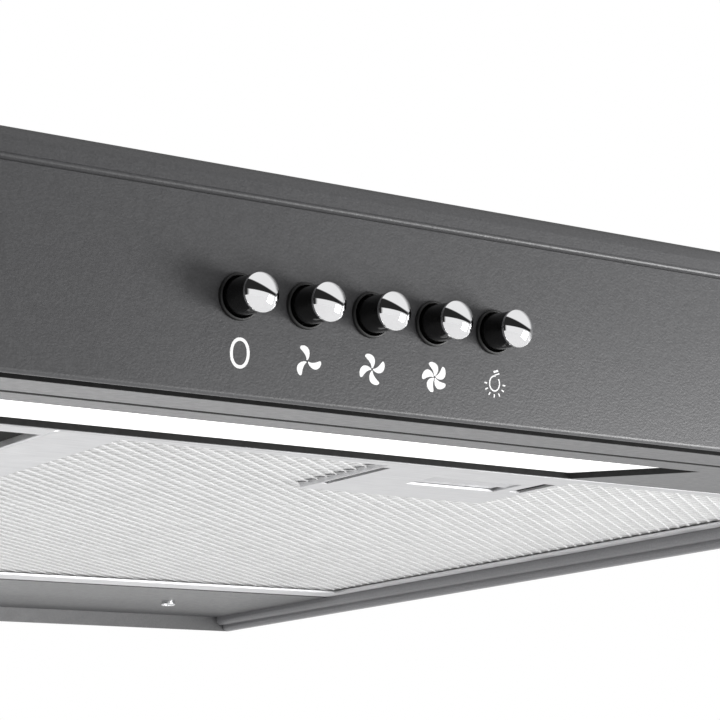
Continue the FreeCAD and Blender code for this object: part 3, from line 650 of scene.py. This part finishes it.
end_cover = bmesh.new()
sloping_box(end_cover, (-COVER_HALF, COVER_FRONT, COVER_LOW), (COVER_HALF, COVER_REAR, COVER_HIGH))
eased(end_cover, 0.25)
piece("divider_end_cover", end_cover, SLOT_FINISH["filter_aluminium"], "casing")

# black liners inside the latch's slot and opening: painted shade of their dark insides
for side, mirror in (("right", 1), ("left", -1)):
    slot_shades = bmesh.new()
    sloping_box(slot_shades, (116.6, 105.4, SLOT_SHADE_LOW), (119.8, 138.6, SLOT_SHADE_HIGH), mirror)
    sloping_box(slot_shades, (176.6, 107.4, SLOT_SHADE_LOW), (182.8, 125.6, SLOT_SHADE_HIGH), mirror)
    eased(slot_shades, 0.1)
    piece(f"latch_slot_shade_{side}", slot_shades, PAINTED_SHADE_BLACK, f"filter_{side}")


# ---- expanded filter sheets ----------------------------------------------------------------

def expanded_sheet(mirror):
    """Staggered diamonds: short double-width bonds joined by twisted strands."""
    bm = bmesh.new()
    columns = int((MESH_RIGHT - MESH_LEFT) / (CELL_WIDTH / 2))
    rows = int((MESH_REAR - MESH_FRONT) / (CELL_LENGTH / 2))
    bonds = {}
    for column in range(columns + 1):
        for row in range(rows + 1):
            if (column + row) % 2:
                continue
            u = MESH_LEFT + column * CELL_WIDTH / 2
            v = MESH_FRONT + row * CELL_LENGTH / 2
            if LATCH_LEFT < u < LATCH_RIGHT and v < LATCH_REAR:
                continue
            grid = []
            for shift in (-BOND / 2, BOND / 2):
                edge = []
                for step in (-1, 0, 1):
                    point = tilted(mirror * (u + shift), v + step * STRAND,
                                   MESH_LEVEL + step * STRAND_TWIST)
                    edge.append(bm.verts.new(point))
                grid.append(edge)
            bonds[column, row] = grid
    for (column, row), (left, right) in bonds.items():
        for step in (0, 1):
            bm.faces.new((left[step], right[step], right[step + 1], left[step + 1]))
        rising = bonds.get((column + 1, row + 1))
        if rising:
            bm.faces.new((right[1], rising[0][0], rising[0][1], right[2]))
        falling = bonds.get((column + 1, row - 1))
        if falling:
            bm.faces.new((right[0], falling[0][1], falling[0][2], right[1]))
    return bm


for side, mirror in (("right", 1), ("left", -1)):
    sheet = piece(f"expanded_sheet_{side}", expanded_sheet(mirror), SLOT_FINISH["mesh_aluminium"],
                  f"filter_{side}", [f"filter_mesh_{side}"])
    solidify = sheet.modifiers.new("thickness", "SOLIDIFY")
    solidify.thickness = STRAND_THICKNESS * MM
    solidify.offset = 0


# ---- springs -------------------------------------------------------------------------------
STEPS_PER_TURN = 18
WIRE_STEPS = 8
BUTTON_COIL = {"radius": 3.2, "wire": 0.28, "turns": 4}
LATCH_COIL = {"radius": 1.2, "wire": 0.22, "turns": 8}
LATCH_COIL_REACH = 130.5
LATCH_COIL_LENGTH = 16.3
LATCH_COIL_LEVEL = 3.0


def coil(start, end, radius, wire, turns):
    """A helix of round wire between two points; radius and wire in mm."""
    bm = bmesh.new()
    way = (end - start).normalized()
    side = way.orthogonal().normalized()
    up = way.cross(side)
    count = turns * STEPS_PER_TURN
    rings = []
    for step in range(count + 1):
        angle = 2 * math.pi * step / STEPS_PER_TURN
        outer = side * math.cos(angle) + up * math.sin(angle)
        centre = start.lerp(end, step / count) + outer * radius * MM
        ring = []
        for wire_step in range(WIRE_STEPS):
            around = 2 * math.pi * wire_step / WIRE_STEPS
            offset = outer * math.cos(around) + way * math.sin(around)
            ring.append(bm.verts.new(centre + offset * wire * MM))
        rings.append(ring)
    for lower, upper in zip(rings, rings[1:]):
        for step in range(WIRE_STEPS):
            after = (step + 1) % WIRE_STEPS
            bm.faces.new((lower[step], lower[after], upper[after], upper[step]))
    bm.faces.new(rings[0])
    bm.faces.new(rings[-1])
    return bm


springs_low, springs_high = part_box("button_springs")
for name, x in zip(BUTTONS, BUTTON_X):
    inset = BUTTON_COIL["wire"] * MM
    start = Vector((x, springs_low.y + inset, BUTTON_Z))
    end = Vector((x, springs_high.y - inset, BUTTON_Z))
    spring = piece(f"return_spring_{name}", coil(start, end, **BUTTON_COIL),
                   SLOT_FINISH["spring_steel"], "casing", ["button_springs"], 60)
    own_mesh(spring)

for side, mirror in (("right", 1), ("left", -1)):
    start = tilted(mirror * LATCH_X, LATCH_COIL_REACH, LATCH_COIL_LEVEL)
    end = tilted(mirror * LATCH_X, LATCH_COIL_REACH + LATCH_COIL_LENGTH, LATCH_COIL_LEVEL)
    spring = piece(f"catch_spring_{side}", coil(start, end, **LATCH_COIL),
                   SLOT_FINISH["spring_steel"], f"filter_{side}",
                   [f"latch_spring_{side}"], 60)
    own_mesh(spring)


# ---- screws --------------------------------------------------------------------------------
HEAD_RADIUS = 3.0
HEAD_HEIGHT = 1.6
CROWN_RADIUS = 2.3
SHANK_RADIUS = 1.5
SHANK_LENGTH = 5.0
RECESS_HALF = 0.38
RECESS_REACH = 1.5
RECESS_DEPTH = 0.9
HEAD_EDGE = 0.7
TIP_LENGTH = 0.6
TIP_SHARE = 0.4
RECESS_TAPER = 0.8
HEAD_STEPS = 48
REAR_PLATE_SCREW_X = (-240, -80, 80, 240)
REAR_PLATE_SCREW_REACH = 434
LAMP_PLATE_SCREW_X = (-270, 270)
LAMP_PLATE_SCREW_REACH = 72
SCREW_CIRCLE = 66.0
SPIGOT_FLANGE = 1.5


def pan_head(bm, place):
    """Pan head with a cross recess, and its shank; local Z points out of the head."""
    def corner(u, v, height):
        return bm.verts.new(place @ (Vector((u, v, height)) * MM))

    def ring(radius, height):
        return [corner(radius * math.cos(2 * math.pi * step / HEAD_STEPS),
                       radius * math.sin(2 * math.pi * step / HEAD_STEPS), height)
                for step in range(HEAD_STEPS)]

    def skin(lower, upper):
        for step in range(len(lower)):
            after = (step + 1) % len(lower)
            bm.faces.new((lower[step], lower[after], upper[after], upper[step]))

    rings = [ring(CROWN_RADIUS, HEAD_HEIGHT)]
    edge_x, edge_z = HEAD_RADIUS - HEAD_EDGE, HEAD_HEIGHT - HEAD_EDGE
    for radius, height in rounded(edge_x, edge_z, HEAD_EDGE, 75, 0, 5):
        rings.append(ring(radius, height))
    rings += [ring(HEAD_RADIUS, 0), ring(SHANK_RADIUS, 0)]
    rings += [ring(SHANK_RADIUS, TIP_LENGTH - SHANK_LENGTH),
              ring(SHANK_RADIUS * TIP_SHARE, -SHANK_LENGTH)]
    for lower, upper in zip(rings, rings[1:]):
        skin(lower, upper)
    bm.faces.new(rings[-1])

    h, far = RECESS_HALF, RECESS_REACH
    cross = [(far, -h), (far, h), (h, h), (h, far), (-h, far), (-h, h),
             (-far, h), (-far, -h), (-h, -h), (-h, -far), (h, -far), (h, -h)]
    mouth = [corner(u, v, HEAD_HEIGHT) for u, v in cross]
    bottom = [corner(u * RECESS_TAPER, v * RECESS_TAPER, HEAD_HEIGHT - RECESS_DEPTH)
              for u, v in cross]
    skin(bottom, mouth)
    bm.faces.new(bottom)
    rim = []
    for loop in (rings[0], mouth):
        for index, vertex in enumerate(loop):
            rim.append(bm.edges.get((vertex, loop[(index + 1) % len(loop)])))
    bmesh.ops.triangle_fill(bm, edges=rim, use_beauty=True, use_dissolve=False)


screws = bmesh.new()
facing_down = Matrix.Rotation(math.pi, 4, "X")
leaning = Matrix.Rotation(-SLOPE, 4, "X")
for x in REAR_PLATE_SCREW_X:
    place = tilted(x, REAR_PLATE_SCREW_REACH, 0)
    pan_head(screws, Matrix.Translation(place) @ leaning @ facing_down)
for x in LAMP_PLATE_SCREW_X:
    place = (x * MM, reach(LAMP_PLATE_SCREW_REACH), BOTTOM_Z)
    pan_head(screws, Matrix.Translation(place) @ facing_down)
spigot_low, spigot_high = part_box("duct_spigot")
for index in range(4):
    angle = math.radians(45 + 90 * index)
    pan_head(screws, Matrix.Translation((
        (spigot_low.x + spigot_high.x) / 2 + SCREW_CIRCLE * MM * math.cos(angle),
        (spigot_low.y + spigot_high.y) / 2 + SCREW_CIRCLE * MM * math.sin(angle),
        SPIGOT_FLANGE * MM,
    )))
piece("cross_head_screws", screws, SLOT_FINISH["zinc"], "casing", ["pan_head_screws"], 40)


# ---- camera --------------------------------------------------------------------------------
CAMERA_PLACE = Vector((-275.1, -682.1, -113.0)) * MM
CAMERA_YAW = math.radians(34.903)
CAMERA_PITCH = math.radians(7.641)
CAMERA_ROLL = math.radians(1.885)
CAMERA_LENS = 118.5

ahead = Vector((
    math.sin(CAMERA_YAW) * math.cos(CAMERA_PITCH),
    math.cos(CAMERA_YAW) * math.cos(CAMERA_PITCH),
    math.sin(CAMERA_PITCH),
))
level_right = Vector((math.cos(CAMERA_YAW), -math.sin(CAMERA_YAW), 0))
level_up = level_right.cross(ahead)
camera_x = level_right * math.cos(CAMERA_ROLL) + level_up * math.sin(CAMERA_ROLL)
camera_y = level_up * math.cos(CAMERA_ROLL) - level_right * math.sin(CAMERA_ROLL)
camera_data = bpy.data.cameras.new("camera")
camera_data.sensor_width = 36.0
camera_data.lens = CAMERA_LENS
camera_data.clip_start = 0.01
camera = bpy.data.objects.new("camera", camera_data)
turn = Matrix((camera_x, camera_y, -ahead)).transposed().to_4x4()
camera.matrix_world = Matrix.Translation(CAMERA_PLACE) @ turn
scene.collection.objects.link(camera)
scene.camera = camera
scene.view_settings.view_transform = "Standard"


# ---- floor, surroundings and lights --------------------------------------------------------
FLOOR_DEPTH = 3.0
FLOOR_HALF = 12.0

floor_mesh = bmesh.new()
bmesh.ops.create_grid(floor_mesh, x_segments=8, y_segments=8, size=FLOOR_HALF,
                      matrix=Matrix.Translation((0, 0, -FLOOR_DEPTH)))
floor_data = bpy.data.meshes.new("floor")
floor_mesh.to_mesh(floor_data)
floor_mesh.free()
floor = bpy.data.objects.new("floor", floor_data)
scene.collection.objects.link(floor)
floor_finish = Finish("pale_floor", (0.9, 0.9, 0.9), roughness=0.7, Emission_Strength=0.35)
floor_finish.shader.inputs["Emission Color"].default_value = (1, 1, 1, 1)
floor_finish.shade(floor_finish.noise(900.0), 0.98, 1.02)
floor_data.materials.append(floor_finish.material)


BENCH = (0.14, -0.13)
CANOPY = (0.62, -0.5)
BEHIND_TURN = 0.35
BEHIND_EDGE = (0.15, 0.5)
LEFT_EDGE = (-0.78, -0.62)
REAR_EDGE = (0.7, 0.93)
REAR_GAIN = 1.5
REAR_BASE = 0.42
LOW_EDGE = (-0.02, -0.2)
LOW_GAIN = 1.2


def surroundings(dark, bright):
    """White for the camera; for the lighting, a studio that is dark in front at eye level."""
    world = bpy.data.worlds.new("studio")
    world.use_nodes = True
    nodes, links = world.node_tree.nodes, world.node_tree.links
    light = nodes["Background"]
    seen = nodes.new("ShaderNodeBackground")
    seen.inputs["Color"].default_value = (1, 1, 1, 1)
    mix = nodes.new("ShaderNodeMixShader")
    path = nodes.new("ShaderNodeLightPath")
    place = nodes.new("ShaderNodeTexCoord")
    axes = nodes.new("ShaderNodeSeparateXYZ")
    links.new(place.outputs["Generated"], axes.inputs["Vector"])

    def ramp(value, start, end):
        node = nodes.new("ShaderNodeMapRange")
        node.interpolation_type = "SMOOTHSTEP"
        node.inputs["From Min"].default_value = start
        node.inputs["From Max"].default_value = end
        links.new(value, node.inputs["Value"])
        return node.outputs["Result"]

    def math_node(operation, first, second):
        node = nodes.new("ShaderNodeMath")
        node.operation = operation
        for socket, value in zip(node.inputs, (first, second)):
            if isinstance(value, float):
                socket.default_value = value
            else:
                links.new(value, socket)
        return node.outputs["Value"]

    x, y, z = (axes.outputs[axis] for axis in "XYZ")
    behind = ramp(math_node("ADD", y, math_node("MULTIPLY", x, BEHIND_TURN)), *BEHIND_EDGE)
    bench = math_node("ADD", math_node("MULTIPLY", x, BENCH[1]), BENCH[0])
    below = ramp(math_node("SUBTRACT", bench, z), -0.02, 0.02)
    canopy = math_node("ADD", math_node("MULTIPLY", x, CANOPY[1]), CANOPY[0])
    above = ramp(math_node("SUBTRACT", z, canopy), -0.03, 0.05)
    glow = math_node("MAXIMUM", math_node("MAXIMUM", below, above), behind)
    glow = math_node("MULTIPLY", glow, ramp(x, *LEFT_EDGE))
    rear = math_node("ADD", math_node("MULTIPLY", ramp(y, *REAR_EDGE), REAR_GAIN), REAR_BASE)
    rear = math_node("ADD", rear, math_node("MULTIPLY", ramp(z, *LOW_EDGE), LOW_GAIN))
    tint = math_node("ADD", math_node("MULTIPLY", behind, math_node("SUBTRACT", rear, 1.0)), 1.0)
    glow = math_node("MULTIPLY", glow, tint)
    level = math_node("ADD", math_node("MULTIPLY", glow, bright - dark), dark)
    links.new(level, light.inputs["Strength"])
    light.inputs["Color"].default_value = (1, 1, 1, 1)
    links.new(path.outputs["Is Camera Ray"], mix.inputs["Fac"])
    links.new(light.outputs["Background"], mix.inputs[1])
    links.new(seen.outputs["Background"], mix.inputs[2])
    links.new(mix.outputs["Shader"], nodes["World Output"].inputs["Surface"])
    scene.world = world


def softbox(name, place, target, width, height, power):
    data = bpy.data.lights.new(name, "AREA")
    data.shape = "RECTANGLE"
    data.size = width
    data.size_y = height
    data.energy = power
    lamp = bpy.data.objects.new(name, data)
    lamp.location = place
    aim = Vector(target) - Vector(place)
    lamp.rotation_mode = "QUATERNION"
    lamp.rotation_quaternion = aim.to_track_quat("-Z", "Y")
    scene.collection.objects.link(lamp)


surroundings(0.02, 0.85)
softbox("bench", (-0.5, 0.1, -0.8), (0.0, 0.05, -0.07), 0.5, 0.5, 3.5)
softbox("key", (0.5, -0.56, -0.17), (0.18, -0.24, -0.03), 0.3, 0.22, 3.7)
